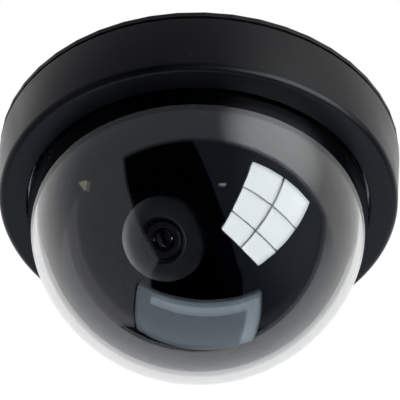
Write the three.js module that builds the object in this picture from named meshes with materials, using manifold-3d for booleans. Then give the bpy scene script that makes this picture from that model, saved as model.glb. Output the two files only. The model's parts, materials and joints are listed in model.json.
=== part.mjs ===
// Ceiling dome camera.
// The frame's origin is the centre of the face that meets the ceiling, +Z points up into the
// ceiling, and the camera looks along -Y with its lens turned down by REST_TILT.
// Millimetres and degrees throughout.
import * as THREE from 'three';
import { mergeVertices } from 'three/addons/utils/BufferGeometryUtils.js';
import Module from 'manifold-3d';

const wasm = await Module();
wasm.setup();

// ---------------------------------------------------------------- driving dimensions

// Clear dome and the drum-shaped cover that carries it.
const DOME_RADIUS = 50;
const DOME_WALL = 2.5;
const DOME_STANDOFF = 2; // straight skirt of the dome that shows below the cover
const COVER_HEIGHT = 21; // ceiling face to the cover's front face
const COVER_WALL = 2.2;
const FACE_RING = 8; // width of the flat ring around the dome
const COVER_EDGE = 2; // fillet between the drum's side and its face
const COVER_DRAFT = 1.2; // how much the drum narrows from its rim to its face
const DOME_FLANGE = { width: 1.6, thickness: 1.4 };
const GASKET = 0.7;
const BOSS_RADIUS = 1.7; // takes a screw of the retaining ring
const RETAINER_THICKNESS = 1.5; // ring inside the cover that clamps the dome's flange
const DOME_GROOVE = 0.6; // dark gap between the dome and the cover

// Mounting plate.
const PLATE_THICKNESS = 1.5;
const SHADOW_GAP = 0.9; // between the plate and the cover's rim
const PLATE_SLOT = { length: 10, width: 4.5 };
const CABLE_HOLE_RADIUS = 5.5;

// Pedestal and pan bearing.
const PEDESTAL_RADIUS = 11;
const PEDESTAL_FLANGE = { radius: 17, thickness: 2 };
const PEDESTAL_HEIGHT = 5.7;
const SPIGOT_RADIUS = 8;
const NUT = { across: 22, thickness: 1.8 };
const WASHER = 0.5;

// Turntable, liner and yoke.
const HUB_THICKNESS = 1.8;
const DECK_THICKNESS = 2;
const SKIRT_WALL = 2;
const LINER_CLEARANCE = 1.5; // liner's outside to the inside of the dome
const LINER_WALL = 1.5;
const LINER_FLANGE = { thickness: 1.7, width: 8.5 };
const LINER_RISE = 6; // straight part of the liner above the dome's centre
const SLOT_HALF = 13.5; // half the width of the opening that the lens looks through
const YOKE = { thickness: 2.4, width: 10, foot: 7, footThickness: 2 };

// Camera module, along its own lens axis.
const REST_TILT = 50.3;
const BODY = { halfWidth: 12, halfHeight: 8, front: 18, back: -4.5, wall: 1.6 };
const TRUNNION = { radius: 4, length: 2.9 };
const BARREL = { radius: 5.1, thread: 4, bore: 3.1, length: 24 };
const NECK = { radius: BARREL.radius + 2.5, bore: BARREL.radius + 1.5 };
const BEZEL_RADIUS = 12;
const BEZEL_EDGE = 3.2; // rounding between the bezel's side and its crown
const BEZEL_CLEARANCE = 3; // bezel's crown to the inside of the liner
const REAR_COVER = 1.6;
const REAR_POST = { half: 1.6, bore: 0.8, depth: 5 };
const SENSOR_BOARD = { halfWidth: 9, thickness: 1.4 };
const GLASS_RADIUS = 3.75;

// Electronics on the plate.
const BOARD = { thickness: 1.2, standoff: 2.5, inner: 23 };
const CLIP = { width: 9, thickness: 0.8, foot: 8, setback: 1.8, relief: 0.6 }; // back from the cover's wall

// Screws: M2 for small parts, M3 for the pedestal and the tilt axis.
const M2 = { shank: 0.95, head: 1.8, headHeight: 1.2 };
const M3 = { shank: 1.45, head: 2.7, headHeight: 1.8 };

// Named clearances.
const SEAT = 0.05; // between faces that are fastened together
const FIT = 0.15; // around a screw, a pin or a glued insert
const RUN = 0.3; // between faces that turn or slide on each other

// Numbers of flats on round shapes.
const COARSE = 12;
const MEDIUM = 28;
const FINE = 48;

// ---------------------------------------------------------------- sizes that follow from them

const domeCentreZ = -(COVER_HEIGHT + DOME_STANDOFF);
const domeInner = DOME_RADIUS - DOME_WALL;
const holeRadius = DOME_RADIUS + DOME_GROOVE;
const faceRadius = holeRadius + FACE_RING;
const rimRadius = faceRadius + COVER_DRAFT + 0.2;
const plateUnder = -PLATE_THICKNESS;
const coverTop = plateUnder - SHADOW_GAP;
const faceInside = -COVER_HEIGHT + COVER_WALL;
const coverOutsideAt = (z) =>
  rimRadius - (COVER_DRAFT * (coverTop - z)) / (coverTop + COVER_HEIGHT);
const coverInsideAt = (z) => coverOutsideAt(z) - COVER_WALL;

const linerOuter = domeInner - LINER_CLEARANCE;
const linerInner = linerOuter - LINER_WALL;
const linerTop = domeCentreZ + LINER_RISE;
const deckTop = linerTop + SEAT + DECK_THICKNESS;
const skirtInner = linerInner - LINER_FLANGE.width;
const skirtOuter = skirtInner + SKIRT_WALL;
const pedestalTop = plateUnder - PEDESTAL_HEIGHT;
const hubTop = pedestalTop - RUN;
const hubUnder = hubTop - HUB_THICKNESS;
const washerTop = hubUnder - SEAT;
const nutTop = washerTop - WASHER - SEAT;
const spigotEnd = nutTop - NUT.thickness - RUN;

// The tilt axis passes through the dome's centre, or lower where the body needs room to swing.
const bodySwing = Math.hypot(REAR_COVER + SEAT - BODY.back, BODY.halfHeight);
const tiltZ = Math.min(domeCentreZ, spigotEnd - bodySwing - 2 * RUN);
const tiltDrop = domeCentreZ - tiltZ;

const clipOuter = coverInsideAt(faceInside) - CLIP.setback;
const boardOuter = clipOuter - CLIP.foot - 1;
const boardTop = plateUnder - BOARD.standoff;
const boardUnder = boardTop - BOARD.thickness;

// ---------------------------------------------------------------- shaping

const radians = THREE.MathUtils.degToRad;

// Points of an arc about (cx, cy), from one angle to another, both ends included.
function arc(cx, cy, radius, from, to, steps) {
  return Array.from({ length: steps + 1 }, (_, i) => {
    const angle = radians(from + ((to - from) * i) / steps);
    return [cx + radius * Math.cos(angle), cy + radius * Math.sin(angle)];
  });
}

// A solid of revolution about Z from [radius, z] pairs that run round its section.
// A section that doesn't start and end on the axis is joined back to its first point.
function revolve(section, flats = MEDIUM) {
  const points = section.map(([r, z]) => new THREE.Vector2(r, z));
  if (THREE.ShapeUtils.area(points) < 0) points.reverse();
  const ring = points[0].x > 0 || points[points.length - 1].x > 0;
  if (ring) points.push(points[0].clone());
  return new THREE.LatheGeometry(points, flats).rotateX(Math.PI / 2);
}

// The same about the lens axis: pairs are [radius, distance in front of the tilt axis].
const revolveForward = (section, flats) => revolve(section, flats).rotateX(Math.PI / 2);

// A flat outline of [x, y] pairs, with holes, given a thickness upwards from z.
function slab(outline, z, thickness, holes = []) {
  const shape = new THREE.Shape(outline.map(([x, y]) => new THREE.Vector2(x, y)));
  shape.holes = holes.map((hole) => new THREE.Path(hole.map(([x, y]) => new THREE.Vector2(x, y))));
  const geometry = new THREE.ExtrudeGeometry(shape, { depth: thickness, bevelEnabled: false });
  return geometry.translate(0, 0, z);
}

function circle(cx, cy, radius, flats = COARSE) {
  return arc(cx, cy, radius, 0, 360, flats).slice(0, -1);
}

// A slot with round ends, centred at a radius and an angle, its length across that radius.
function roundSlot(radius, angle, { length, width }) {
  const reach = length / 2 - width / 2;
  const points = [
    ...arc(0, reach, width / 2, 0, 180, 6),
    ...arc(0, -reach, width / 2, 180, 360, 6),
  ];
  return points.map(([x, y]) => turned(radius + x, y, angle));
}

function turned(x, y, angle) {
  const c = Math.cos(radians(angle));
  const s = Math.sin(radians(angle));
  return [x * c - y * s, x * s + y * c];
}

const onCircle = (radius, angle) => turned(radius, 0, angle);

function block(x0, x1, y0, y1, z0, z1) {
  return new THREE.BoxGeometry(x1 - x0, y1 - y0, z1 - z0)
    .translate((x0 + x1) / 2, (y0 + y1) / 2, (z0 + z1) / 2);
}

// A closed geometry as a solid that can be joined and cut, and back again.
function solid(geometry) {
  const bare = geometry.clone();
  bare.deleteAttribute('normal');
  bare.deleteAttribute('uv');
  const merged = mergeVertices(bare, 1e-4);
  return new wasm.Manifold(new wasm.Mesh({
    numProp: 3,
    vertProperties: new Float32Array(merged.attributes.position.array),
    triVerts: new Uint32Array(merged.index.array),
  }));
}

function geometryOf(made) {
  const mesh = made.getMesh();
  return new THREE.BufferGeometry()
    .setAttribute('position', new THREE.BufferAttribute(new Float32Array(mesh.vertProperties), 3))
    .setIndex(new THREE.BufferAttribute(new Uint32Array(mesh.triVerts), 1));
}

const joined = (first, ...rest) => rest.reduce((made, next) => made.add(solid(next)), solid(first));
const cut = (made, ...tools) => tools.reduce((left, tool) => left.subtract(solid(tool)), made);

// A pan-head screw. Its head sits on z = 0 and reaches down, its shank reaches up.
function screw({ shank, head, headHeight }, length) {
  return revolve([
    [0, length],
    [shank, length],
    [shank, 0],
    [head, 0],
    [head * 0.9, -headHeight],
    [0, -headHeight],
  ], COARSE);
}

// A straight hole through everything between two heights.
const drill = (x, y, radius, z0, z1) => slab(circle(x, y, radius), z0, z1 - z0);

// ---------------------------------------------------------------- materials and assembly

const finish = (color, roughness, metalness = 0) => ({ color, roughness, metalness });
const finishes = {
  coverPlastic: finish(0x151517, 0.55),
  clearPlastic: { ...finish(0xf4f6f8, 0.04), transparent: true, opacity: 0.25 },
  linerPlastic: finish(0x08080a, 0.5),
  glossPlastic: finish(0x0b0b0d, 0.2),
  steel: finish(0x9a9c9f, 0.35, 0.9),
  zincSteel: finish(0xb7b9b4, 0.45, 0.85),
  rubber: finish(0x101010, 0.85),
  circuitBoard: finish(0x14532f, 0.5),
  chip: finish(0x111214, 0.4),
  aluminium: finish(0x2a2b2e, 0.35, 0.8),
  glass: { ...finish(0x39304a, 0.03), transparent: true, opacity: 0.6 },
  connector: finish(0xe9e4d4, 0.45),
  brass: finish(0xb08d4a, 0.35, 0.9),
};

const dome_camera = new THREE.Group();
const camera_module = new THREE.Group();
camera_module.position.set(0, 0, tiltZ);
camera_module.rotation.x = radians(REST_TILT);
dome_camera.add(camera_module);

function place(name, shape, look, parent = dome_camera) {
  const geometry = shape.isBufferGeometry ? shape : geometryOf(shape);
  const mesh = new THREE.Mesh(geometry, new THREE.MeshStandardMaterial(finishes[look]));
  mesh.name = name;
  parent.add(mesh);
  return mesh;
}

// ---------------------------------------------------------------- mounting plate and its fittings

const clipAngles = [90, 210, 330];
const pedestalScrewAngles = [30, 150, 270];
const plateSlots = [
  [boardOuter - 5, 0],
  [boardOuter - 5, 180],
  [boardOuter + 4.5, 270],
];
const cableHole = onCircle(boardOuter - 11, 90);
const pedestalScrewRadius = (PEDESTAL_RADIUS + PEDESTAL_FLANGE.radius) / 2;
const clipScrewRadius = clipOuter - CLIP.foot + 3;

function mountingPlate() {
  const holes = [
    circle(...cableHole, CABLE_HOLE_RADIUS + FIT, 20),
    ...plateSlots.map(([radius, angle]) => roundSlot(radius, angle, PLATE_SLOT)),
    ...pedestalScrewAngles.map((angle) => circle(...onCircle(pedestalScrewRadius, angle), M3.shank + FIT)),
    ...clipAngles.map((angle) => circle(...onCircle(clipScrewRadius, angle), M2.shank + FIT)),
  ];
  return slab(circle(0, 0, rimRadius, FINE), plateUnder, PLATE_THICKNESS, holes);
}
place('mounting_plate', mountingPlate(), 'coverPlastic');

// Foam ring that closes the gap above the cover.
place('rim_seal', revolve([
  [rimRadius - 2.2, plateUnder - SEAT],
  [rimRadius - 1.2, plateUnder - SEAT],
  [rimRadius - 1.2, coverTop + SEAT],
  [rimRadius - 2.2, coverTop + SEAT],
], FINE), 'rubber');

// Rubber grommet in the cable hole.
place('cable_grommet', revolve([
  [CABLE_HOLE_RADIUS - 2.3, -FIT],
  [CABLE_HOLE_RADIUS, -FIT],
  [CABLE_HOLE_RADIUS, plateUnder - SEAT],
  [CABLE_HOLE_RADIUS + 1.5, plateUnder - SEAT],
  [CABLE_HOLE_RADIUS + 1.5, plateUnder - 1.6],
  [CABLE_HOLE_RADIUS - 1.2, plateUnder - 3.4],
  [CABLE_HOLE_RADIUS - 2.3, plateUnder - 3.4],
], 20), 'rubber').position.set(...cableHole, 0);

// Spring clips that the cover is pushed over: a foot, a leg, and a bump that presses on the cover.
const clipTip = faceInside + 4;
const clipBumpZ = (plateUnder + clipTip) / 2 - 1;

function coverClip() {
  const inner = clipOuter - CLIP.foot;
  const top = plateUnder - SEAT;
  const bump = coverInsideAt(clipBumpZ) - CLIP.relief;
  const t = CLIP.thickness;
  const section = [
    [inner, top],
    [clipOuter, top],
    [clipOuter, clipBumpZ + 3],
    [bump, clipBumpZ],
    [clipOuter, clipBumpZ - 3],
    [clipOuter, clipTip],
    [clipOuter - t, clipTip],
    [clipOuter - t, clipBumpZ - 3.3],
    [bump - t, clipBumpZ],
    [clipOuter - t, clipBumpZ + 3.3],
    [clipOuter - t, top - t],
    [inner, top - t],
  ];
  const strip = slab(section, -CLIP.width / 2, CLIP.width).rotateX(Math.PI / 2);
  return cut(solid(strip), drill(clipScrewRadius, 0, M2.shank + FIT, top - 2 * t, top + t));
}
clipAngles.forEach((angle, i) => {
  place(`cover_clip_${i + 1}`, coverClip(), 'steel').rotation.z = radians(angle);
  const z = plateUnder - SEAT - CLIP.thickness - SEAT;
  place(`clip_screw_${i + 1}`, screw(M2, -z - 0.2), 'zincSteel')
    .position.set(...onCircle(clipScrewRadius, angle), z);
});

// ---------------------------------------------------------------- pedestal and pan bearing

const stopRadius = pedestalScrewRadius;
const stopHalf = 1.2;
const flangeScrew = { ...M3, headHeight: 1.3, head: 2.3 };
const flangeScrewZ = plateUnder - PEDESTAL_FLANGE.thickness - 2 * SEAT;
const pegTop = flangeScrewZ - flangeScrew.headHeight - RUN; // the turntable's peg passes below the screws

function pedestal() {
  const under = plateUnder - SEAT;
  const flangeUnder = under - PEDESTAL_FLANGE.thickness;
  const post = revolve([
    [0, under],
    [PEDESTAL_FLANGE.radius, under],
    [PEDESTAL_FLANGE.radius, flangeUnder],
    [PEDESTAL_RADIUS, flangeUnder],
    [PEDESTAL_RADIUS, pedestalTop],
    [SPIGOT_RADIUS, pedestalTop],
    [SPIGOT_RADIUS, spigotEnd],
    [SPIGOT_RADIUS - 2.5, spigotEnd],
    [SPIGOT_RADIUS - 2.5, flangeUnder],
    [0, flangeUnder],
  ], MEDIUM);
  const stop = block(-stopHalf, stopHalf, PEDESTAL_RADIUS - 1, stopRadius + stopHalf,
    hubTop + RUN, flangeUnder + 0.5);
  const holes = pedestalScrewAngles.map((angle) =>
    drill(...onCircle(pedestalScrewRadius, angle), M3.shank + FIT, flangeUnder - 1, under + 1));
  return cut(joined(post, stop), ...holes);
}
place('pedestal', pedestal(), 'linerPlastic');
pedestalScrewAngles.forEach((angle, i) => {
  place(`pedestal_screw_${i + 1}`, screw(flangeScrew, -flangeScrewZ - 0.3), 'zincSteel')
    .position.set(...onCircle(pedestalScrewRadius, angle), flangeScrewZ);
});

place('pan_washer', revolve([
  [SPIGOT_RADIUS + FIT, washerTop],
  [SPIGOT_RADIUS + 3, washerTop],
  [SPIGOT_RADIUS + 3, washerTop - WASHER],
  [SPIGOT_RADIUS + FIT, washerTop - WASHER],
], MEDIUM), 'steel');

place('pan_nut', slab(circle(0, 0, NUT.across / 2 / Math.cos(Math.PI / 6), 6), nutTop - NUT.thickness,
  NUT.thickness, [circle(0, 0, SPIGOT_RADIUS + FIT, MEDIUM)]), 'linerPlastic');

// ---------------------------------------------------------------- circuit board

const boardArc = { from: 205, to: 335 };
const standoffRadius = boardOuter - 3.5;
const standoffAngles = [212, 270, 328];

function mainBoard() {
  const outline = [
    ...arc(0, 0, boardOuter, boardArc.from, boardArc.to, 22),
    ...arc(0, 0, BOARD.inner, boardArc.to, boardArc.from, 14),
  ];
  const holes = standoffAngles.map((angle) => circle(...onCircle(standoffRadius, angle), M2.shank + FIT));
  return slab(outline, boardUnder, BOARD.thickness, holes);
}
place('main_board', mainBoard(), 'circuitBoard');

standoffAngles.forEach((angle, i) => {
  const at = onCircle(standoffRadius, angle);
  place(`board_standoff_${i + 1}`, revolve([
    [M2.shank + FIT, plateUnder - SEAT],
    [2.4, plateUnder - SEAT],
    [2.4, boardTop + SEAT],
    [M2.shank + FIT, boardTop + SEAT],
  ], 12), 'brass').position.set(...at, 0);
  place(`board_screw_${i + 1}`, screw(M2, BOARD.thickness + BOARD.standoff - 0.4), 'zincSteel')
    .position.set(...at, boardUnder - SEAT);
});

// Parts soldered under the board: they stay outside the turntable's skirt, or under its hub.
function onBoard(name, size, radius, angle, look) {
  const [deep, wide, tall] = size;
  const top = boardUnder - SEAT;
  const part = place(name, block(-deep / 2, deep / 2, -wide / 2, wide / 2, top - tall, top), look);
  part.position.set(...onCircle(radius, angle), 0);
  part.rotation.z = radians(angle);
}
const tallPartRadius = Math.max(boardOuter - 5.5, skirtOuter + 4);
onBoard('video_connector', [5, 11, 4.5], tallPartRadius, 247, 'connector');
onBoard('power_connector', [5, 8, 4.5], tallPartRadius, 293, 'connector');
onBoard('image_processor', [9, 9, 1], BOARD.inner + 6, 240, 'chip');
place('filter_capacitor', revolve([
  [0, boardUnder - SEAT],
  [2.6, boardUnder - SEAT],
  [2.6, boardUnder - 5.6],
  [2.2, boardUnder - 6],
  [0, boardUnder - 6],
], COARSE), 'aluminium').position.set(...onCircle(tallPartRadius, 310), 0);

// ---------------------------------------------------------------- cover and clear dome

const flangeOuter = holeRadius + DOME_FLANGE.width;
const gasketTop = faceInside + SEAT + GASKET;
const domeFlangeUnder = gasketTop + SEAT;
const domeFlangeTop = domeFlangeUnder + DOME_FLANGE.thickness;
const earAngles = [45, 135, 225, 315];
const earRadius = flangeOuter + BOSS_RADIUS + 0.2;

function coverRing() {
  const edgeZ = -COVER_HEIGHT + COVER_EDGE;
  const ring = revolve([
    [rimRadius, coverTop],
    [coverOutsideAt(edgeZ), edgeZ],
    ...arc(faceRadius - COVER_EDGE + 0.2, edgeZ, COVER_EDGE, 0, -90, 5).slice(1),
    [holeRadius + 0.3, -COVER_HEIGHT],
    [holeRadius, -COVER_HEIGHT + 0.3],
    [holeRadius, faceInside],
    [coverInsideAt(faceInside) - 1, faceInside],
    [coverInsideAt(faceInside + 1), faceInside + 1],
    [coverInsideAt(coverTop), coverTop],
  ], FINE);
  const bosses = earAngles.map((angle) =>
    slab(circle(...onCircle(earRadius, angle), BOSS_RADIUS), faceInside - 0.5,
      domeFlangeTop - faceInside + 0.5));
  const holes = earAngles.map((angle) =>
    drill(...onCircle(earRadius, angle), M2.shank + FIT, faceInside + 0.4, domeFlangeTop + 1));
  return cut(joined(ring, ...bosses), ...holes);
}
place('cover_ring', coverRing(), 'coverPlastic');

place('dome_gasket', revolve([
  [holeRadius + 0.2, faceInside + SEAT],
  [flangeOuter, faceInside + SEAT],
  [flangeOuter, gasketTop],
  [holeRadius + 0.2, gasketTop],
], FINE), 'rubber');

place('clear_dome', revolve([
  ...arc(0, domeCentreZ, DOME_RADIUS, -90, 0, 8),
  [DOME_RADIUS, domeFlangeUnder],
  [flangeOuter, domeFlangeUnder],
  [flangeOuter, domeFlangeTop],
  [domeInner, domeFlangeTop],
  ...arc(0, domeCentreZ, domeInner, 0, -90, 7),
], FINE), 'clearPlastic');

function retainingRing() {
  const z = domeFlangeTop + SEAT;
  const half = BOSS_RADIUS + 0.1;
  const root = flangeOuter - 1; // the ears start inside the band
  const ear = [[root, -half], ...arc(earRadius, 0, half, -90, 90, 6), [root, half]];
  const band = slab(circle(0, 0, flangeOuter, FINE), z, RETAINER_THICKNESS,
    [circle(0, 0, domeInner + 1, FINE)]);
  const ears = earAngles.map((angle) =>
    slab(ear.map(([x, y]) => turned(x, y, angle)), z, RETAINER_THICKNESS));
  const holes = earAngles.map((angle) =>
    drill(...onCircle(earRadius, angle), M2.shank + FIT, z - 1, z + RETAINER_THICKNESS + 1));
  return cut(joined(band, ...ears), ...holes);
}
place('retaining_ring', retainingRing(), 'linerPlastic');

earAngles.forEach((angle, i) => {
  const length = RETAINER_THICKNESS + domeFlangeTop - faceInside - 0.6;
  const fastener = place(`retaining_screw_${i + 1}`, screw(M2, length), 'zincSteel');
  fastener.rotation.x = Math.PI;
  fastener.position.set(...onCircle(earRadius, angle), domeFlangeTop + RETAINER_THICKNESS + 2 * SEAT);
});

// ---------------------------------------------------------------- turntable, liner and yoke

const linerScrewAngles = [90, 210, 330];
const linerScrewRadius = (skirtOuter + linerInner) / 2;
const yokeInner = BODY.halfWidth + TRUNNION.length + SEAT + WASHER + 2 * SEAT;
const yokeScrewX = yokeInner + YOKE.thickness + (YOKE.foot - YOKE.thickness) / 2;

function turntable() {
  const deckUnder = deckTop - DECK_THICKNESS;
  const hat = revolve([
    [SPIGOT_RADIUS + RUN, hubTop],
    [skirtOuter, hubTop],
    [skirtOuter, deckTop],
    [linerOuter, deckTop],
    [linerOuter, deckUnder],
    [skirtInner, deckUnder],
    [skirtInner, hubUnder],
    [SPIGOT_RADIUS + RUN, hubUnder],
  ], FINE);
  const peg = slab(circle(0, -stopRadius, stopHalf), hubTop - 0.5, pegTop - hubTop + 0.5);
  const holes = [
    ...linerScrewAngles.map((angle) =>
      drill(...onCircle(linerScrewRadius, angle), M2.shank + FIT, deckUnder - 1, deckTop + 1)),
    drill(yokeScrewX, 0, M2.shank + FIT, hubUnder - 1, hubTop + 1),
    drill(-yokeScrewX, 0, M2.shank + FIT, hubUnder - 1, hubTop + 1),
  ];
  return cut(joined(hat, peg), ...holes);
}
place('turntable', turntable(), 'linerPlastic');

// The liner is a deep bowl just inside the dome, with a slot from its rim to past its lowest point.
function liner() {
  const flangeUnder = linerTop - LINER_FLANGE.thickness;
  const bowl = revolve([
    ...arc(0, domeCentreZ, linerOuter, -90, 0, 9),
    [linerOuter, linerTop],
    [skirtInner, linerTop],
    [skirtInner, flangeUnder],
    [linerInner, flangeUnder],
    ...arc(0, domeCentreZ, linerInner, 0, -90, 8),
  ], FINE);
  const below = domeCentreZ - 2 * linerOuter;
  const slot = block(-SLOT_HALF, SLOT_HALF, -2 * linerOuter, 0, below, flangeUnder - 1);
  const slotEnd = slab(circle(0, 0, SLOT_HALF, 24), below, 2 * linerOuter - 10);
  const holes = linerScrewAngles.map((angle) =>
    drill(...onCircle(linerScrewRadius, angle), M2.shank + FIT, flangeUnder - 1, linerTop + 1));
  return cut(solid(bowl), slot, slotEnd, ...holes);
}
place('liner', liner(), 'linerPlastic');

linerScrewAngles.forEach((angle, i) => {
  const length = DECK_THICKNESS + LINER_FLANGE.thickness - 0.3;
  const fastener = place(`liner_screw_${i + 1}`, screw(M2, length), 'zincSteel');
  fastener.rotation.x = Math.PI;
  fastener.position.set(...onCircle(linerScrewRadius, angle), deckTop + SEAT);
});

// One arm of the yoke, on the +X side: a round-ended plate with a foot under the hub.
function yokeArm() {
  const top = hubUnder - SEAT;
  const half = YOKE.width / 2;
  const outline = [
    [half, top],
    [-half, top],
    ...arc(0, tiltZ, half, 180, 360, 10),
  ];
  const plate = slab(outline, yokeInner, YOKE.thickness)
    .applyMatrix4(new THREE.Matrix4().makeBasis(
      new THREE.Vector3(0, 1, 0), new THREE.Vector3(0, 0, 1), new THREE.Vector3(1, 0, 0)));
  const foot = block(yokeInner, yokeInner + YOKE.foot, -half, half, top - YOKE.footThickness, top);
  const pivot = slab(circle(0, 0, M3.shank + RUN), yokeInner - 1, YOKE.thickness + 2)
    .rotateY(Math.PI / 2).translate(0, 0, tiltZ);
  const hole = drill(yokeScrewX, 0, M2.shank + FIT, top - YOKE.footThickness - 1, top + 1);
  return cut(joined(plate, foot), pivot, hole);
}
for (const [side, sign] of [['right', 1], ['left', -1]]) {
  place(`yoke_arm_${side}`, yokeArm(), 'linerPlastic').rotation.z = sign > 0 ? 0 : Math.PI;
  place(`yoke_screw_${side}`, screw(M2, YOKE.footThickness + HUB_THICKNESS - 0.3), 'zincSteel')
    .position.set(sign * yokeScrewX, 0, hubUnder - YOKE.footThickness - 2 * SEAT);
}

// ---------------------------------------------------------------- camera module, tilting part

const bezelCrown = linerInner - BEZEL_CLEARANCE - tiltDrop; // from the tilt axis to the bezel's crown
const neckFront = bezelCrown - 5.5;
const barrelFront = bezelCrown - 0.6;
const barrelBack = barrelFront - BARREL.length;

function cameraBody() {
  const { halfWidth, halfHeight, front, back, wall } = BODY;
  const shell = block(-halfWidth, halfWidth, -front, -back, -halfHeight, halfHeight);
  const hollow = block(-halfWidth + wall, halfWidth - wall, -front + wall, -back + 1,
    -halfHeight + wall, halfHeight - wall);
  const neck = revolveForward([
    [0, front - wall / 2],
    [NECK.radius, front - wall / 2],
    [NECK.radius, neckFront],
    [0, neckFront],
  ]);
  const bore = revolveForward([
    [0, front - 2 * wall],
    [NECK.bore, front - 2 * wall],
    [NECK.bore, neckFront + 1],
    [0, neckFront + 1],
  ]);
  const across = (radius, x0, x1) =>
    slab(circle(0, 0, radius, 18), x0, x1 - x0).rotateY(Math.PI / 2);
  const end = halfWidth + TRUNNION.length;
  const trunnions = [
    across(TRUNNION.radius, halfWidth - wall / 2, end),
    across(TRUNNION.radius, -end, -halfWidth + wall / 2),
  ];
  const pivots = [
    across(M3.shank + FIT, halfWidth - 2 * wall, end + 1),
    across(M3.shank + FIT, -end - 1, -halfWidth + 2 * wall),
  ];
  const coverScrews = [1, -1].map((side) => rearPost(side));
  return cut(joined(shell, neck, ...trunnions), hollow, bore, ...pivots).add(coverScrews[0])
    .add(coverScrews[1]);
}

// A post inside the body's corner that takes one screw of the rear cover.
const rearPostX = BODY.halfWidth - BODY.wall - REAR_POST.half;
const rearPostZ = BODY.halfHeight - BODY.wall - REAR_POST.half;
function rearPost(side) {
  const { back, halfWidth, halfHeight } = BODY;
  const x = side * rearPostX;
  const z = side * rearPostZ;
  const span = (centre, wall) => [centre - side * REAR_POST.half, side * (wall - 0.5)]
    .sort((a, b) => a - b);
  const post = block(...span(x, halfWidth), -back - REAR_POST.depth, -back, ...span(z, halfHeight));
  const hole = slab(circle(0, 0, REAR_POST.bore), -0.5, REAR_POST.depth + 1)
    .rotateX(Math.PI / 2).translate(x, -back + 0.5, z);
  return cut(solid(post), hole);
}
place('camera_body', cameraBody(), 'linerPlastic', camera_module);

function rearCover() {
  const { halfWidth, halfHeight, back } = BODY;
  const y = -back + SEAT;
  const plate = block(-halfWidth, halfWidth, y, y + REAR_COVER, -halfHeight, halfHeight);
  const holes = [1, -1].map((side) =>
    slab(circle(0, 0, 0.95), -1, 4).rotateX(Math.PI / 2)
      .translate(side * rearPostX, y + 2, side * rearPostZ));
  const cableExit = block(-5, 5, y - 1, y + 3, -2, 2);
  return cut(solid(plate), ...holes, cableExit);
}
place('rear_cover', rearCover(), 'linerPlastic', camera_module);

[1, -1].forEach((side, i) => {
  const small = { shank: 0.7, head: 1.4, headHeight: 0.9 };
  const fastener = place(`rear_cover_screw_${i + 1}`, screw(small, 4.6), 'zincSteel', camera_module);
  fastener.rotation.x = Math.PI / 2;
  fastener.position.set(side * rearPostX, -BODY.back + REAR_COVER + 2 * SEAT, side * rearPostZ);
});

// Bezel: a thick round ring that a spigot holds in the neck, its front rounded over.
function frontBezel() {
  const spigot = NECK.bore - FIT;
  const back = neckFront + RUN;
  return revolveForward([
    [BARREL.radius + 0.5, neckFront - 1.5],
    [spigot, neckFront - 1.5],
    [spigot, back],
    [NECK.radius + 0.3, back],
    [BEZEL_RADIUS - 0.8, bezelCrown - 3.3],
    [BEZEL_RADIUS, bezelCrown - 2.6],
    ...arc(BEZEL_RADIUS - BEZEL_EDGE, bezelCrown - BEZEL_EDGE, BEZEL_EDGE, 10, 90, 5),
    [BARREL.radius + 2, bezelCrown - 0.3],
    [BARREL.radius + 1.3, bezelCrown - 1],
    [BARREL.radius + 0.5, bezelCrown - 2.3],
  ], MEDIUM);
}
place('front_bezel', frontBezel(), 'glossPlastic', camera_module);

// Lens holder on the sensor board, with the image sensor behind its bore.
const holderBack = 4;
const holderFront = barrelBack + 10;
const holderFlange = BODY.halfHeight - BODY.wall - RUN;
place('lens_holder', revolveForward([
  [BARREL.thread + FIT, holderBack],
  [holderFlange, holderBack],
  [holderFlange, holderBack + 2],
  [BARREL.thread + 1.6, holderBack + 2],
  [BARREL.thread + 1.6, holderFront],
  [BARREL.thread + FIT, holderFront],
], MEDIUM), 'linerPlastic', camera_module);

const boardBack = holderBack - SEAT - SENSOR_BOARD.thickness;
place('sensor_board', block(-SENSOR_BOARD.halfWidth, SENSOR_BOARD.halfWidth, -(holderBack - 2 * SEAT),
  -boardBack, -holderFlange, holderFlange), 'circuitBoard', camera_module);
place('image_sensor', block(-3.2, 3.2, -(holderBack + 1), -holderBack, -2.6, 2.6), 'chip', camera_module);

// Tilt axis: a washer and a pivot screw on each side.
for (const [side, sign] of [['right', 1], ['left', -1]]) {
  const washer = place(`tilt_washer_${side}`, revolve([
    [M3.shank + FIT, 0],
    [TRUNNION.radius, 0],
    [TRUNNION.radius, WASHER],
    [M3.shank + FIT, WASHER],
  ], 18), 'steel', camera_module);
  washer.rotation.y = (sign * Math.PI) / 2;
  washer.position.x = sign * (BODY.halfWidth + TRUNNION.length + SEAT);
  const length = yokeInner + YOKE.thickness - BODY.halfWidth + SEAT;
  const pivot = place(`tilt_screw_${side}`, screw(M3, length), 'zincSteel', camera_module);
  pivot.rotation.y = (-sign * Math.PI) / 2;
  pivot.position.x = sign * (yokeInner + YOKE.thickness + SEAT);
}

// ---------------------------------------------------------------- lens, which turns to focus

const glassSeat = barrelFront - 2.6;
place('lens_barrel', revolveForward([
  [BARREL.bore, barrelBack + 2.2],
  [BARREL.thread - 0.9, barrelBack + 2.2],
  [BARREL.thread - 0.9, barrelBack],
  [BARREL.thread, barrelBack],
  [BARREL.thread, holderFront + 1],
  [BARREL.radius, holderFront + 1.5],
  [BARREL.radius, barrelFront - 0.3],
  [BARREL.radius - 0.3, barrelFront],
  [GLASS_RADIUS + FIT, barrelFront],
  [GLASS_RADIUS + FIT, glassSeat],
  [BARREL.bore, glassSeat],
], MEDIUM), 'aluminium', camera_module);

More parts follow.
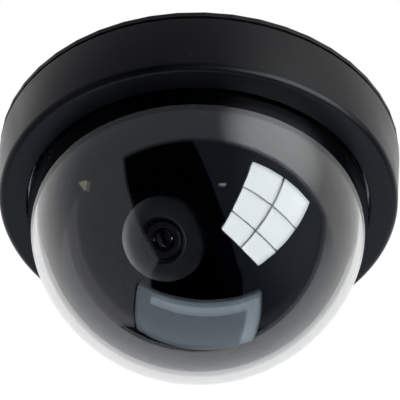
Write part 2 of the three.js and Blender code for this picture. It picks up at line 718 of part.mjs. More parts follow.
place('front_lens', revolveForward([
  [0, glassSeat + SEAT],
  [GLASS_RADIUS, glassSeat + SEAT],
  [GLASS_RADIUS, glassSeat + 0.9],
  [GLASS_RADIUS * 0.8, glassSeat + 1.35],
  [GLASS_RADIUS * 0.5, glassSeat + 1.8],
  [GLASS_RADIUS * 0.2, glassSeat + 1.98],
  [0, glassSeat + 2],
], 24), 'glass', camera_module);

place('lens_retainer', revolveForward([
  [GLASS_RADIUS - 0.5, barrelFront - 0.9],
  [GLASS_RADIUS + FIT - SEAT, barrelFront - 0.9],
  [GLASS_RADIUS + FIT - SEAT, barrelFront - 0.1],
  [GLASS_RADIUS - 0.1, barrelFront - 0.1],
], 24), 'glossPlastic', camera_module);

place('rear_lens', revolveForward([
  [0, barrelBack + 0.5],
  [BARREL.thread - 1, barrelBack + 0.9],
  [BARREL.thread - 1, barrelBack + 2.1],
  [0, barrelBack + 2.1],
], 20), 'glass', camera_module);

export default dome_camera;
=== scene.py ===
# A dome camera for a ceiling: a drum cover, a clear dome and a slotted liner round a small lens module.
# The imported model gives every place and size; the finer shapes and all the finishes are made here.

import json
import math

import bmesh
import bpy
from mathutils import Matrix, Vector


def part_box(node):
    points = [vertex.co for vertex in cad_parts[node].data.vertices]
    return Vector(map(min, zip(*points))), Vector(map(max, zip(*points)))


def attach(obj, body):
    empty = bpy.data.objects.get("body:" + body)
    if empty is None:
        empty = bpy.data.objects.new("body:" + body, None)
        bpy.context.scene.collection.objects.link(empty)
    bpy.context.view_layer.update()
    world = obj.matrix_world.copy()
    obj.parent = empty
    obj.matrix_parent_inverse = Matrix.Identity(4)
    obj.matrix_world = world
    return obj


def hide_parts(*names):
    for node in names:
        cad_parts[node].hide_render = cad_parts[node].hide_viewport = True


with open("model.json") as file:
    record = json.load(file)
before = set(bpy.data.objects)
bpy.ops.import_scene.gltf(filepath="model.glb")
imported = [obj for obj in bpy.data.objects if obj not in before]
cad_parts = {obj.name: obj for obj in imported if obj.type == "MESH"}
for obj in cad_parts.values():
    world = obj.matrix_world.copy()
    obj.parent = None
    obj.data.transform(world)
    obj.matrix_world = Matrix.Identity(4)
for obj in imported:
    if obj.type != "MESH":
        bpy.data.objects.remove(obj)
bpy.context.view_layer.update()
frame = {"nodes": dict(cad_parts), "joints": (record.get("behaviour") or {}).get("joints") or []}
nodes = frame["nodes"]

# ---------------------------------------------------------------- camera
# A long lens a little to the right of the front, looking up at the fixture from below.
# It is rolled by about one degree.

CAMERA_DISTANCE = 0.6994
CAMERA_AZIMUTH = math.radians(21.7)
CAMERA_BELOW = math.radians(43.66)
CAMERA_TARGET = Vector((0.000413, 0.000138, -0.016889))
CAMERA_ROLL = 0.019
SENSOR_WIDTH = 36
FOCAL_LENGTH = 208.7

towards_camera = Vector((
    math.sin(CAMERA_AZIMUTH) * math.cos(CAMERA_BELOW),
    -math.cos(CAMERA_AZIMUTH) * math.cos(CAMERA_BELOW),
    -math.sin(CAMERA_BELOW),
))
camera_place = towards_camera * CAMERA_DISTANCE
look_back = (camera_place - CAMERA_TARGET).normalized()
level_right = Vector((0, 0, 1)).cross(look_back).normalized()
level_up = look_back.cross(level_right)
camera_right = level_right * math.cos(CAMERA_ROLL) + level_up * math.sin(CAMERA_ROLL)
camera_up = level_up * math.cos(CAMERA_ROLL) - level_right * math.sin(CAMERA_ROLL)

camera_data = bpy.data.cameras.new("camera")
camera_data.sensor_width = SENSOR_WIDTH
camera_data.lens = FOCAL_LENGTH
camera_data.clip_start = 0.01
camera = bpy.data.objects.new("camera", camera_data)
bpy.context.scene.collection.objects.link(camera)
camera.matrix_world = Matrix((camera_right, camera_up, look_back)).transposed().to_4x4()
camera.matrix_world.translation = camera_place
bpy.context.scene.camera = camera
bpy.context.scene.view_settings.view_transform = "Standard"

# ---------------------------------------------------------------- room
# The world is white where it is seen straight. What shines back from the parts is a pale table
# level with the ceiling face, a pale wall behind, and a dim room in front with a black gap in it.
# Its directions are in a frame that is turned by the camera's azimuth.


def add_node(tree, kind, inputs=None, **settings):
    made = tree.nodes.new(kind)
    for name, value in settings.items():
        setattr(made, name, value)
    for name, value in (inputs or {}).items():
        if isinstance(value, bpy.types.NodeSocket):
            tree.links.new(value, made.inputs[name])
        else:
            made.inputs[name].default_value = value
    return made


def maths(tree, operation, first, second=0.0):
    return add_node(tree, "ShaderNodeMath", {0: first, 1: second}, operation=operation).outputs[0]


def ramp(tree, value, low, high, start=0.0, end=1.0):
    made = add_node(tree, "ShaderNodeMapRange", interpolation_type="SMOOTHSTEP")
    tree.links.new(value, made.inputs["Value"])
    for name, number in zip(("From Min", "From Max", "To Min", "To Max"), (low, high, start, end)):
        made.inputs[name].default_value = number
    return made.outputs["Result"]


def facing(azimuth, elevation):
    a, e = math.radians(azimuth), math.radians(elevation)
    return Vector((math.sin(a) * math.cos(e), -math.cos(a) * math.cos(e), math.sin(e)))


world = bpy.data.worlds.new("room")
bpy.context.scene.world = world
world.use_nodes = True
room = world.node_tree
room.nodes.clear()
seen = add_node(room, "ShaderNodeTexCoord").outputs["Generated"]
turned_room = add_node(room, "ShaderNodeMapping", {"Vector": seen, "Rotation": (0, 0, -CAMERA_AZIMUTH)})
direction = turned_room.outputs[0]


def along(vector):
    dot = add_node(room, "ShaderNodeVectorMath", {0: direction, 1: vector}, operation="DOT_PRODUCT")
    return dot.outputs["Value"]


def blend_rooms(under, over, mask):
    made = add_node(room, "ShaderNodeMix", data_type="RGBA")
    room.links.new(mask, made.inputs["Factor"])
    for socket, value in ((made.inputs[6], under), (made.inputs[7], over)):
        if isinstance(value, bpy.types.NodeSocket):
            room.links.new(value, socket)
        else:
            socket.default_value = (*value, 1)
    return made.outputs[2]


height = along((0, 0, 1))
rightness = along(facing(76, 0))
behind = ramp(room, along(facing(0, -43.66)), 0.045, 0.015)
far_behind = ramp(room, along(facing(162, 0)), 0.2, 0.85)
gap_left = ramp(room, along((-0.731, 0.68, 0.056)), 0.105, 0.085)
gap_right = ramp(room, along((0.917, -0.074, 0.392)), 0.075, 0.055)
gap = maths(room, "MULTIPLY", gap_left, gap_right)
table = ramp(room, along((-0.006, 0.106, 0.994)), 0.05, 0.085)
table_glow = ramp(room, along(facing(48, 18)), 0.8, 1.0)
lip = ramp(room, along((0.031, 0.648, 0.761)), 0.1, 0.114)
under_lip = ramp(room, along((0.005, 0.955, -0.297)), 0.795, 0.805)
nadir = ramp(room, height, -0.87, -0.89)

front = blend_rooms((0.46, 0.48, 0.5), (0.09, 0.12, 0.16), ramp(room, rightness, -0.35, 0.15))
front = blend_rooms(front, (0.25, 0.3, 0.35), ramp(room, rightness, 0.5, 0.95))
front = blend_rooms(front, (0.004, 0.003, 0.006), gap)
shade = blend_rooms((0.75, 0.76, 0.78), (0.2, 0.22, 0.26), ramp(room, rightness, -0.1, 0.4))
shade = blend_rooms(shade, (0.03, 0.035, 0.045), under_lip)
back = blend_rooms((1.1, 1.12, 1.15), (0.38, 0.41, 0.46), ramp(room, rightness, 0.05, 0.55))
back = blend_rooms(back, (1.2, 1.22, 1.28), far_behind)
back = blend_rooms(shade, back, lip)
low_room = blend_rooms(front, back, behind)
low_room = blend_rooms(low_room, (0.002, 0.002, 0.004), nadir)
away_from_left = ramp(room, along(facing(-33, 0)), 0.75, -0.1)
near_table = blend_rooms((0.42, 0.44, 0.47), (1.15, 1.15, 1.15), away_from_left)
near_table = blend_rooms(near_table, (3.3, 3.35, 3.4), table_glow)
seen_in_gloss = blend_rooms(low_room, near_table, table)

bounces = add_node(room, "ShaderNodeLightPath")
bent = maths(room, "ADD", bounces.outputs["Glossy Depth"], bounces.outputs["Diffuse Depth"])
colour = blend_rooms((1, 1, 1), seen_in_gloss, maths(room, "GREATER_THAN", bent, 0.5))
background = add_node(room, "ShaderNodeBackground", {"Color": colour, "Strength": 1.0})
output = add_node(room, "ShaderNodeOutputWorld")
room.links.new(background.outputs[0], output.inputs["Surface"])

# ---------------------------------------------------------------- window and screen
# Glowing cards that are seen only in reflections and through clear parts: a tall window of six panes
# to the right, a wide pale screen low down behind with two brighter strips and a dark edge, a far
# lamp and a corner of paper. A pale floor far below the fixture is only seen straight.


def card_material(name, colour, strength):
    made = bpy.data.materials.new(name)
    made.use_nodes = True
    made.node_tree.nodes.clear()
    glow = add_node(made.node_tree, "ShaderNodeEmission", {"Color": (*colour, 1), "Strength": strength})
    end = add_node(made.node_tree, "ShaderNodeOutputMaterial")
    made.node_tree.links.new(glow.outputs[0], end.inputs["Surface"])
    return made


def card(name, corners, look):
    mesh = bpy.data.meshes.new(name)
    face = bmesh.new()
    face.faces.new([face.verts.new(corner) for corner in corners])
    face.to_mesh(mesh)
    face.free()
    made = bpy.data.objects.new(name, mesh)
    bpy.context.scene.collection.objects.link(made)
    mesh.materials.append(look)
    made.visible_camera = False
    made.visible_diffuse = False
    made.visible_shadow = False
    return made


def part_of(corners, u0, u1, v0, v1):
    a, b, c, d = corners
    at = lambda u, v: a.lerp(b, u).lerp(d.lerp(c, u), v)
    return [at(u0, v0), at(u1, v0), at(u1, v1), at(u0, v1)]


turn = Matrix.Rotation(CAMERA_AZIMUTH, 3, "Z")
CARD_DISTANCE = 1.3
WINDOW_BAR = 0.016
window = [turn @ Vector(corner) * CARD_DISTANCE for corner in (
    (0.534, -0.845, -0.025), (0.972, -0.229, -0.048), (0.753, -0.134, -0.967), (0.316, -0.75, -0.943))]
pane_light = card_material("daylight", (0.9, 0.97, 1.0), 14.0)
for column in range(2):
    for row in range(3):
        card(
            f"pane_{column}_{row}",
            part_of(window, column / 2 + WINDOW_BAR, (column + 1) / 2 - WINDOW_BAR,
                    row / 3 + WINDOW_BAR / 2, (row + 1) / 3 - WINDOW_BAR / 2),
            pane_light,
        )

SCREEN_TINT = (0.72, 0.86, 1.0)
STRIP_TINT = (0.74, 0.87, 1.0)
screen = [turn @ Vector(corner) * CARD_DISTANCE for corner in (
    (-0.567, 0.105, -0.817), (0.487, 0.148, -0.643), (0.465, 0.942, -0.601), (-0.589, 0.899, -0.774))]
card("screen", part_of(screen, 0.01, 1, 0, 0.9), card_material("screen", SCREEN_TINT, 1.75))
raised = [corner * 0.98 for corner in screen]
card("screen_strip", part_of(raised, 0.18, 0.88, 0.06, 0.17),
     card_material("screen_strip", STRIP_TINT, 3.9))
card("screen_side", part_of(raised, 0.88, 0.985, 0.06, 0.86),
     card_material("screen_side", STRIP_TINT, 3.6))

dark_edge = [corner * 0.97 for corner in screen]
card("screen_edge", part_of(dark_edge, -0.012, 0.014, -0.02, 1.0),
     card_material("dark_edge", (0, 0, 0), 0.0))

lamp_place = turn @ Vector((0.258, -0.894, -0.367)) * CARD_DISTANCE
LAMP_SHIFTS = ((-0.05, -0.02), (0.05, -0.03), (0.05, 0.02), (-0.05, 0.01))
card("far_lamp", [lamp_place + Vector((x, x / 3, z)) for x, z in LAMP_SHIFTS],
     card_material("far_lamp", (1.0, 1.0, 0.98), 2.6))
paper = [turn @ Vector(corner) * CARD_DISTANCE for corner in (
    (-0.964, -0.177, 0.16), (-0.949, -0.29, 0.094), (-0.972, -0.233, 0.01))]
card("paper_corner", paper, card_material("cream_paper", (1.0, 0.96, 0.8), 2.2))

FLOOR_DEPTH = 1.6
FLOOR_HALF = 6
floor_corners = [Vector((x * FLOOR_HALF, y * FLOOR_HALF, -FLOOR_DEPTH))
                 for x, y in ((-1, -1), (1, -1), (1, 1), (-1, 1))]
floor = card("floor", floor_corners, card_material("pale_floor", (0.93, 0.93, 0.94), 1.0))
floor.visible_camera = True
floor.visible_glossy = False
floor.visible_transmission = False

# A soft lamp for the bezel alone, level on the left. It grazes the left of the ring.
SOFT_LIGHT_DISTANCE = 1.2
soft_light = bpy.data.lights.new("soft_light", "AREA")
soft_light.size = 0.9
soft_light.energy = 190
soft_lamp = bpy.data.objects.new("soft_light", soft_light)
bpy.context.scene.collection.objects.link(soft_lamp)
soft_lamp.location = turn @ facing(-119, 2) * SOFT_LIGHT_DISTANCE
soft_lamp.rotation_euler = (-soft_lamp.location).to_track_quat("-Z", "Y").to_euler()
lit_pieces = bpy.data.collections.new("lit_by_soft_light")
soft_lamp.light_linking.receiver_collection = lit_pieces
soft_lamp.light_linking.blocker_collection = lit_pieces

# ---------------------------------------------------------------- mounting plate
# A flat black moulded disc that is screwed to the ceiling through three slots.
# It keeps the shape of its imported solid.

MOULDED_BLACK = (0.0009, 0.0009, 0.0022)


def surface_group():
    """Moulding grain, and a patchy mask of handling and dust, both over Object coordinates."""
    group = bpy.data.node_groups.new("moulded surface", "ShaderNodeTree")
    for name, value in (("Grain Scale", 2600.0), ("Patch Scale", 60.0), ("Dust", 0.2)):
        socket = group.interface.new_socket(name, in_out="INPUT", socket_type="NodeSocketFloat")
        socket.default_value = value
    for name in ("Grain", "Patches", "Specks"):
        group.interface.new_socket(name, in_out="OUTPUT", socket_type="NodeSocketFloat")
    inlet = add_node(group, "NodeGroupInput").outputs
    place = add_node(group, "ShaderNodeTexCoord").outputs["Object"]
    grain = add_node(group, "ShaderNodeTexNoise",
                     {"Vector": place, "Scale": inlet["Grain Scale"], "Detail": 2.0, "Roughness": 0.6})
    cells = add_node(group, "ShaderNodeTexVoronoi", {"Vector": place, "Scale": inlet["Grain Scale"]})
    patches = add_node(group, "ShaderNodeTexNoise",
                       {"Vector": place, "Scale": inlet["Patch Scale"], "Detail": 4.0, "Distortion": 0.6})
    specks = add_node(group, "ShaderNodeTexVoronoi", {"Vector": place, "Scale": 480.0})
    near = ramp(group, specks.outputs["Distance"], 0.16, 0.05)
    sparse = ramp(group, patches.outputs[0], 0.52, 0.7)
    dust = maths(group, "MULTIPLY", maths(group, "MULTIPLY", near, sparse), inlet["Dust"])
    bumps = maths(group, "ADD", grain.outputs[0], maths(group, "MULTIPLY", cells.outputs["Distance"], 0.5))
    outlet = add_node(group, "NodeGroupOutput")
    for name, socket in (("Grain", bumps), ("Patches", patches.outputs[0]), ("Specks", dust)):
        group.links.new(socket, outlet.inputs[name])
    return group


moulded_surface = surface_group()


def moulded(name, colour, roughness, grain=0.25, grain_scale=2600.0, dust=0.2, specular=0.17, coat=0.0):
    made = bpy.data.materials.new(name)
    made.use_nodes = True
    tree = made.node_tree
    shader = tree.nodes["Principled BSDF"]
    surface = add_node(tree, "ShaderNodeGroup", node_tree=moulded_surface)
    surface.inputs["Grain Scale"].default_value = grain_scale
    surface.inputs["Dust"].default_value = dust
    tint = add_node(tree, "ShaderNodeMix", data_type="RGBA")
    tree.links.new(ramp(tree, surface.outputs["Patches"], 0.35, 0.7), tint.inputs["Factor"])
    tint.inputs[6].default_value = (*(part * 0.85 for part in colour), 1)
    tint.inputs[7].default_value = (*(part * 1.2 for part in colour), 1)
    dusty = add_node(tree, "ShaderNodeMix", data_type="RGBA")
    tree.links.new(surface.outputs["Specks"], dusty.inputs["Factor"])
    tree.links.new(tint.outputs[2], dusty.inputs[6])
    dusty.inputs[7].default_value = (0.3, 0.29, 0.27, 1)
    tree.links.new(dusty.outputs[2], shader.inputs["Base Color"])
    rough = ramp(tree, surface.outputs["Patches"], 0.3, 0.75, roughness * 0.9, min(1.0, roughness * 1.12))
    tree.links.new(rough, shader.inputs["Roughness"])
    bump = add_node(tree, "ShaderNodeBump", {"Strength": grain, "Distance": 0.00008,
                                             "Height": surface.outputs["Grain"]})
    tree.links.new(bump.outputs[0], shader.inputs["Normal"])
    shader.inputs["Specular IOR Level"].default_value = specular
    shader.inputs["Coat Weight"].default_value = coat
    shader.inputs["Coat Roughness"].default_value = 0.08
    return made


def finish_node(name, look):
    mesh = nodes[name].data
    mesh.materials.clear()
    mesh.materials.append(look)


plate_black = moulded("plate_plastic", MOULDED_BLACK, 0.5, grain=0.4)
finish_node("mounting_plate", plate_black)

# ---------------------------------------------------------------- seal and grommet
# Soft black rubber: a flat ring between plate and cover, a collar in the cable hole,
# and a gasket under the flange of the dome.

seal_rubber = moulded("seal_rubber", (0.016, 0.016, 0.016), 0.82, grain=0.6, grain_scale=1800.0, dust=0.5)
for name in ("rim_seal", "cable_grommet", "dome_gasket"):
    finish_node(name, seal_rubber)

# ---------------------------------------------------------------- cover
# A drum-shaped moulding with a slight draft, a rounded lower edge and a flat face ring.
# The dome comes down through its hole. Four bosses inside take the screws of the retaining ring.

MM = 0.001
ROUND_STEPS = 192


def arc(cx, cz, radius, start, end, steps):
    turns = [math.radians(start + (end - start) * i / steps) for i in range(steps + 1)]
    return [(cx + radius * math.cos(t), cz + radius * math.sin(t)) for t in turns]


def spun(name, section, steps=ROUND_STEPS, sharp=32, extra=None, matrix=None):
    """A closed section of (radius, height) points in mm, spun about Z and made an object."""
    body = bmesh.new()
    verts = [body.verts.new((r * MM, 0, z * MM)) for r, z in section]
    closed = section[0][0] > 0 or section[-1][0] > 0
    pairs = list(zip(verts, verts[1:])) + ([(verts[-1], verts[0])] if closed else [])
    edges = [body.edges.new(pair) for pair in pairs]
    bmesh.ops.spin(body, geom=verts + edges, axis=(0, 0, 1), cent=(0, 0, 0),
                   angle=math.tau, steps=steps, use_merge=True)
    bmesh.ops.remove_doubles(body, verts=body.verts[:], dist=1e-6)
    if extra:
        extra(body)
    bmesh.ops.recalc_face_normals(body, faces=body.faces[:])
    if matrix is not None:
        bmesh.ops.transform(body, matrix=matrix, verts=body.verts[:])
    return finished(name, body, sharp)


def finished(name, body, sharp):
    mesh = bpy.data.meshes.new(name)
    for face in body.faces:
        face.smooth = True
    body.to_mesh(mesh)
    body.free()
    mesh.set_sharp_from_angle(angle=math.radians(sharp))
    made = bpy.data.objects.new(name, mesh)
    bpy.context.scene.collection.objects.link(made)
    return made


def dress(piece, body, slot, look, *replaced):
    piece.data.materials.append(look)
    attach(piece, body)
    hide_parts(*replaced)


cover_low, cover_high = (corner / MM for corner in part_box("cover_ring"))
COVER_RIM = cover_high.x
COVER_FACE = cover_low.z
COVER_WALL = 2.2
COVER_EDGE = 2.0
COVER_DRAFT = 1.2
DOME_HOLE = 50.6
HOLE_ROUND = 0.45
RIM_ROUND = 0.35
BOSS_RADIUS = 1.7
BOSS_DEPTH = 2.2
BOSS_CIRCLE = 54.1

cover_depth = cover_high.z - COVER_FACE
cover_foot = COVER_RIM - COVER_DRAFT * (cover_depth - COVER_EDGE) / cover_depth
cover_section = [
    *arc(COVER_RIM - RIM_ROUND, cover_high.z - RIM_ROUND, RIM_ROUND, 90, 0, 5),
    *arc(cover_foot - COVER_EDGE, COVER_FACE + COVER_EDGE, COVER_EDGE, 0, -90, 14),
    *arc(DOME_HOLE + HOLE_ROUND, COVER_FACE + HOLE_ROUND, HOLE_ROUND, -90, -180, 5),
    (DOME_HOLE, COVER_FACE + COVER_WALL),
    (cover_foot - COVER_WALL - 1, COVER_FACE + COVER_WALL),
    (cover_foot - COVER_WALL, COVER_FACE + COVER_WALL + 1),
    (COVER_RIM - COVER_WALL, cover_high.z),
]


def add_bosses(body):
    for quarter in range(4):
        angle = math.radians(45 + 90 * quarter)
        place = Vector((math.cos(angle), math.sin(angle), 0)) * BOSS_CIRCLE * MM
        place.z = (COVER_FACE + COVER_WALL + 0.85) * MM
        bmesh.ops.create_cone(body, cap_ends=True, segments=32, radius1=BOSS_RADIUS * MM,
                              radius2=BOSS_RADIUS * MM, depth=BOSS_DEPTH * MM,
                              matrix=Matrix.Translation(place))


cover = spun("cover", cover_section, extra=add_bosses)
cover_black = moulded("cover_plastic", MOULDED_BLACK, 0.34, grain=0.3, dust=0.12, specular=0.12)
dress(cover, "cover", "cover_plastic", cover_black, "cover_ring")

# ---------------------------------------------------------------- dome
# Clear acrylic drawn into a half sphere with a short straight skirt and a flange, polished both sides.
# Light for the parts inside passes straight through it.

dome_low, dome_high = (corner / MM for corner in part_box("clear_dome"))
DOME_RADIUS = 50.0
DOME_WALL = 2.5
DOME_FLANGE = 1.4
dome_centre = dome_low.z + DOME_RADIUS
dome_inside = DOME_RADIUS - DOME_WALL
dome_section = [
    *arc(0, dome_centre, DOME_RADIUS, -90, 0, 64),
    (DOME_RADIUS, dome_high.z - DOME_FLANGE),
    (dome_high.x, dome_high.z - DOME_FLANGE),
    (dome_high.x, dome_high.z),
    (dome_inside, dome_high.z),
    *arc(0, dome_centre, dome_inside, 0, -90, 60),
]
dome = spun("dome", dome_section, steps=256)

acrylic = bpy.data.materials.new("clear_acrylic")
acrylic.use_nodes = True
acrylic_tree = acrylic.node_tree
acrylic_shader = acrylic_tree.nodes["Principled BSDF"]
acrylic_shader.inputs["Base Color"].default_value = (0.55, 0.555, 0.56, 1)
acrylic_shader.inputs["IOR"].default_value = 1.49
acrylic_shader.inputs["Transmission Weight"].default_value = 1.0
wipes = add_node(acrylic_tree, "ShaderNodeTexNoise",
                 {"Vector": add_node(acrylic_tree, "ShaderNodeTexCoord").outputs["Object"],
                  "Scale": 55.0, "Detail": 5.0, "Distortion": 1.2})
acrylic_tree.links.new(ramp(acrylic_tree, wipes.outputs[0], 0.4, 0.8, 0.002, 0.009),
                       acrylic_shader.inputs["Roughness"])
let_light_in = add_node(acrylic_tree, "ShaderNodeBsdfTransparent", {"Color": (0.9, 0.91, 0.92, 1)})
acrylic_mix = add_node(acrylic_tree, "ShaderNodeMixShader")
acrylic_tree.links.new(add_node(acrylic_tree, "ShaderNodeLightPath").outputs["Is Shadow Ray"],
                       acrylic_mix.inputs[0])
acrylic_tree.links.new(acrylic_shader.outputs[0], acrylic_mix.inputs[1])
acrylic_tree.links.new(let_light_in.outputs[0], acrylic_mix.inputs[2])
acrylic_tree.links.new(acrylic_mix.outputs[0], acrylic_tree.nodes["Material Output"].inputs["Surface"])
dress(dome, "cover", "clear_plastic", acrylic, "clear_dome")

# ---------------------------------------------------------------- inner mouldings
# Plain black mouldings of the pan and tilt head and of the plate, and the ring that clamps the dome.
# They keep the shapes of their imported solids.

inner_black = moulded("inner_plastic", (0.0025, 0.0025, 0.003), 0.6, grain=0.5, dust=0.1, specular=0.06)
for name in ("pedestal", "turntable", "yoke_arm_right", "yoke_arm_left", "camera_body", "rear_cover",
             "lens_holder", "retaining_ring", "pan_nut"):
    finish_node(name, inner_black)

# ---------------------------------------------------------------- liner
# A deep black bowl just inside the dome, in smooth plastic. A slot from its rim to past its
# lowest point lets the lens look out.

liner_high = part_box("liner")[1] / MM
LINER_WALL = 1.5
LINER_RISE = 6.0
LINER_FLANGE = 1.7
LINER_MOUTH = 36.0
SLOT_HALF = 13.5
liner_radius = liner_high.x
liner_centre = liner_high.z - LINER_RISE
liner_inside = liner_radius - LINER_WALL
liner_section = [
    *arc(0, liner_centre, liner_radius, -90, 0, 40),
    (liner_radius, liner_high.z),
    (LINER_MOUTH, liner_high.z),
    (LINER_MOUTH, liner_high.z - LINER_FLANGE),
    (liner_inside, liner_high.z - LINER_FLANGE),
    *arc(0, liner_centre, liner_inside, 0, -90, 38),
]
liner = spun("liner", liner_section)


def slot_cutter():
    """A tall stadium that stands under the flange, open to the front, round behind the lowest point."""
    body = bmesh.new()
    top = (liner_high.z - LINER_FLANGE - 1) * MM
    front = -2 * liner_radius
    outline = [(SLOT_HALF, front), *arc(0, 0, SLOT_HALF, 0, 180, 32), (-SLOT_HALF, front)]
    base = body.faces.new([body.verts.new((x * MM, y * MM, top)) for x, y in outline])
    sides = bmesh.ops.extrude_face_region(body, geom=[base])["geom"]
    bmesh.ops.translate(body, vec=(0, 0, -2 * liner_radius * MM),
                        verts=[v for v in sides if isinstance(v, bmesh.types.BMVert)])
    bmesh.ops.recalc_face_normals(body, faces=body.faces[:])
    return finished("slot_cutter", body, 30)


cutter = slot_cutter()
cutting = liner.modifiers.new("slot", "BOOLEAN")
cutting.operation = "DIFFERENCE"
cutting.object = cutter
cut_mesh = bpy.data.meshes.new_from_object(liner.evaluated_get(bpy.context.evaluated_depsgraph_get()))
liner.modifiers.clear()
liner.data = cut_mesh
liner.name = "liner_bowl"
bpy.data.objects.remove(cutter)
liner_black = moulded("liner_plastic", (0.0008, 0.0008, 0.0014), 0.85, grain=0.15, dust=0.02, specular=0.0)
liner.data.materials.clear()
dress(liner, "pan_head", "liner_plastic", liner_black, "liner")

# ---------------------------------------------------------------- bezel
# A black ring round the lens, rolled over from its edge to its hole, its spigot glued in the neck.
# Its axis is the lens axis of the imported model.

focus_joint = next(joint for joint in frame["joints"] if joint["name"] == "focus")
lens_axis = Vector(focus_joint["axis"]).normalized()
tilt_centre = Vector(focus_joint["pos_m"])
lens_turn = Vector((0, 0, 1)).rotation_difference(lens_axis)
lens_frame = Matrix.Translation(tilt_centre) @ lens_turn.to_matrix().to_4x4()


def reach(name):
    """Furthest back and front of a node along the lens axis, and its widest radius, in mm."""
    offsets = [vertex.co - tilt_centre for vertex in nodes[name].data.vertices]
    along_axis = [offset.dot(lens_axis) / MM for offset in offsets]
    widest = max((offset - lens_axis * offset.dot(lens_axis)).length for offset in offsets) / MM
    return min(along_axis), max(along_axis), widest


bezel_back, bezel_front, bezel_radius = reach("front_bezel")
BEZEL_HOLE = 5.6
SPIGOT = 6.4
BEZEL_ROLL = 3.0
BEZEL_EDGE = 0.7
HOLE_EDGE = 0.5
bezel_hole_edge = BEZEL_HOLE + 1.3
bezel_section = [
    (BEZEL_HOLE, bezel_back),
    (SPIGOT, bezel_back),
    (SPIGOT, bezel_back + 1.8),
    (bezel_radius - 1.2, bezel_front - 3.4),
    *arc(bezel_radius - BEZEL_EDGE, bezel_front - 2.9, BEZEL_EDGE, -60, 20, 6),
    *[(bezel_hole_edge + (bezel_radius - bezel_hole_edge) * c, bezel_front - BEZEL_ROLL * (1 - s))
      for c, s in arc(0, 0, 1, 8, 90, 20)],
    *arc(bezel_hole_edge, bezel_front - HOLE_EDGE, HOLE_EDGE, 90, 170, 6),
    (BEZEL_HOLE + 0.6, bezel_front - 2.0),
    (BEZEL_HOLE, bezel_front - 2.3),
]
bezel = spun("bezel", bezel_section, steps=128, matrix=lens_frame)
bezel_black = moulded("bezel_plastic", (0.014, 0.0145, 0.017), 0.38, grain=0.06, dust=0.02, specular=0.08)
lit_pieces.objects.link(bezel)
dress(bezel, "camera", "bezel_plastic", bezel_black, "front_bezel")

# ---------------------------------------------------------------- lens
# A black anodised barrel that screws in to focus, with a coated front glass held by a thin ring.
# The barrel has fine turning lines.


def turned_group():
    """Fine rings and scratches of a turned or brushed metal, over Object coordinates."""
    group = bpy.data.node_groups.new("turned metal", "ShaderNodeTree")
    group.interface.new_socket("Scale", in_out="INPUT", socket_type="NodeSocketFloat").default_value = 900.0
    for name in ("Lines", "Stain"):
        group.interface.new_socket(name, in_out="OUTPUT", socket_type="NodeSocketFloat")
    inlet = add_node(group, "NodeGroupInput").outputs
    place = add_node(group, "ShaderNodeTexCoord").outputs["Object"]
    stretched = add_node(group, "ShaderNodeMapping", {"Vector": place, "Scale": (0.12, 0.12, 1.0)})
    lines = add_node(group, "ShaderNodeTexNoise",
                     {"Vector": stretched.outputs[0], "Scale": inlet["Scale"], "Detail": 3.0})
    stain = add_node(group, "ShaderNodeTexNoise", {"Vector": place, "Scale": 180.0, "Detail": 3.0})
    outlet = add_node(group, "NodeGroupOutput")
    group.links.new(lines.outputs[0], outlet.inputs["Lines"])
    group.links.new(stain.outputs[0], outlet.inputs["Stain"])
    return group


turned_metal = turned_group()


def metal(name, colour, roughness, scale=900.0):
    made = bpy.data.materials.new(name)
    made.use_nodes = True
    tree = made.node_tree
    shader = tree.nodes["Principled BSDF"]
    shader.inputs["Metallic"].default_value = 1.0
    surface = add_node(tree, "ShaderNodeGroup", node_tree=turned_metal)
    surface.inputs["Scale"].default_value = scale
    tint = add_node(tree, "ShaderNodeMix", data_type="RGBA")
    tree.links.new(ramp(tree, surface.outputs["Stain"], 0.35, 0.7), tint.inputs["Factor"])
    tint.inputs[6].default_value = (*colour, 1)
    tint.inputs[7].default_value = (*(part * 0.72 for part in colour), 1)
    tree.links.new(tint.outputs[2], shader.inputs["Base Color"])
    rough = ramp(tree, surface.outputs["Stain"], 0.3, 0.7, roughness * 0.8, roughness * 1.25)
    tree.links.new(rough, shader.inputs["Roughness"])
    bump = add_node(tree, "ShaderNodeBump", {"Strength": 0.3, "Distance": 0.00005,
                                             "Height": surface.outputs["Lines"]})
    tree.links.new(bump.outputs[0], shader.inputs["Normal"])
    return made


def glass(name, colour):
    made = bpy.data.materials.new(name)
    made.use_nodes = True
    tree = made.node_tree
    shader = tree.nodes["Principled BSDF"]
    shader.inputs["Base Color"].default_value = (*colour, 1)
    shader.inputs["IOR"].default_value = 1.6
    shader.inputs["Transmission Weight"].default_value = 1.0
    smears = add_node(tree, "ShaderNodeTexNoise", {
        "Vector": add_node(tree, "ShaderNodeTexCoord").outputs["Object"], "Scale": 300.0, "Detail": 3.0})
    tree.links.new(ramp(tree, smears.outputs[0], 0.45, 0.8, 0.01, 0.06), shader.inputs["Roughness"])
    return made


barrel_back, barrel_front, barrel_radius = reach("lens_barrel")
glass_back, glass_front, glass_radius = reach("front_lens")
BARREL_BORE = 3.1
BARREL_STEP = 10.0
BARREL_ROUND = 0.3
THREAD_DEPTH = 1.1
GLASS_FIT = 0.15
GLASS_SEAT = 0.05
barrel_section = [
    (BARREL_BORE, barrel_back),
    (barrel_radius - THREAD_DEPTH, barrel_back),
    (barrel_radius - THREAD_DEPTH, barrel_back + BARREL_STEP + 1),
    (barrel_radius, barrel_back + BARREL_STEP + 1.5),
    *arc(barrel_radius - BARREL_ROUND, barrel_front - BARREL_ROUND, BARREL_ROUND, 0, 90, 4),
    (glass_radius + GLASS_FIT, barrel_front),
    (glass_radius + GLASS_FIT, glass_back - GLASS_SEAT),
    (BARREL_BORE, glass_back - GLASS_SEAT),
]
barrel = spun("barrel", barrel_section, steps=96, matrix=lens_frame)
anodised = metal("anodised_black", (0.035, 0.035, 0.04), 0.34)
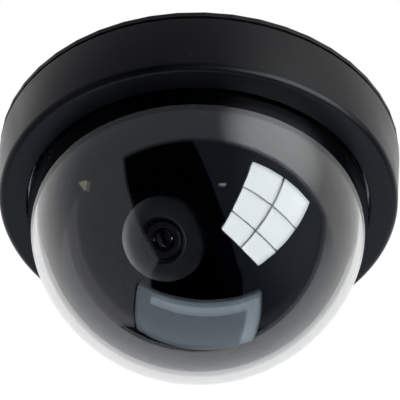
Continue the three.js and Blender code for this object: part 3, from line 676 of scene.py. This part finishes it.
dress(barrel, "lens", "barrel_metal", anodised, "lens_barrel")

crown_radius = glass_radius * 1.35
crown_angle = math.degrees(math.asin(glass_radius / crown_radius))
front_glass_section = [
    (0, glass_back),
    (glass_radius, glass_back),
    *arc(0, glass_front - crown_radius, crown_radius, 90 - crown_angle, 90, 16),
]
front_glass = spun("front_glass", front_glass_section, steps=96, matrix=lens_frame)
coated_glass = glass("coated_glass", (0.55, 0.5, 0.66))
dress(front_glass, "lens", "lens_glass", coated_glass, "front_lens")
finish_node("rear_lens", coated_glass)
finish_node("lens_retainer", bezel_black)
finish_node("filter_capacitor", anodised)

# ---------------------------------------------------------------- screws, clips and brass
# Zinc-plated screws, bright spring-steel clips and tilt washers, a blackened pan washer,
# and turned brass spacers.

zinc = metal("zinc_plate", (0.56, 0.57, 0.55), 0.34)
spring = metal("spring_steel", (0.62, 0.62, 0.64), 0.26, scale=1400.0)
blackened = metal("blackened_steel", (0.012, 0.012, 0.014), 0.5, scale=1400.0)
brass = metal("turned_brass", (0.72, 0.5, 0.2), 0.3)
for name in nodes:
    if "_screw" in name:
        finish_node(name, zinc)
    elif name == "pan_washer":
        finish_node(name, blackened)
    elif name.startswith("cover_clip") or "washer" in name:
        finish_node(name, spring)
    elif name.startswith("board_standoff"):
        finish_node(name, brass)

# ---------------------------------------------------------------- circuit boards
# Green solder mask over fine copper tracks, black chips with a fine frosted top, ivory connectors.


def board_material():
    made = bpy.data.materials.new("solder_mask")
    made.use_nodes = True
    tree = made.node_tree
    shader = tree.nodes["Principled BSDF"]
    place = add_node(tree, "ShaderNodeTexCoord").outputs["Object"]
    tracks = add_node(tree, "ShaderNodeTexBrick", {"Vector": place, "Scale": 260.0, "Mortar Size": 0.06,
                                                   "Color1": (0.006, 0.075, 0.03, 1),
                                                   "Color2": (0.005, 0.06, 0.025, 1),
                                                   "Mortar": (0.012, 0.15, 0.06, 1)})
    tree.links.new(tracks.outputs["Color"], shader.inputs["Base Color"])
    bump = add_node(tree, "ShaderNodeBump", {"Strength": 0.4, "Distance": 0.00004,
                                             "Height": tracks.outputs["Fac"]})
    tree.links.new(bump.outputs[0], shader.inputs["Normal"])
    haze = add_node(tree, "ShaderNodeTexNoise", {"Vector": place, "Scale": 200.0})
    tree.links.new(ramp(tree, haze.outputs[0], 0.3, 0.7, 0.25, 0.42), shader.inputs["Roughness"])
    return made


solder_mask = board_material()
chip_black = moulded("chip_epoxy", (0.014, 0.014, 0.016), 0.5, grain=0.5, grain_scale=5200.0)
ivory = moulded("connector_nylon", (0.62, 0.57, 0.43), 0.5, grain=0.3, dust=0.1)
for name in ("main_board", "sensor_board"):
    finish_node(name, solder_mask)
for name in ("image_processor", "image_sensor"):
    finish_node(name, chip_black)
for name in ("video_connector", "power_connector"):
    finish_node(name, ivory)
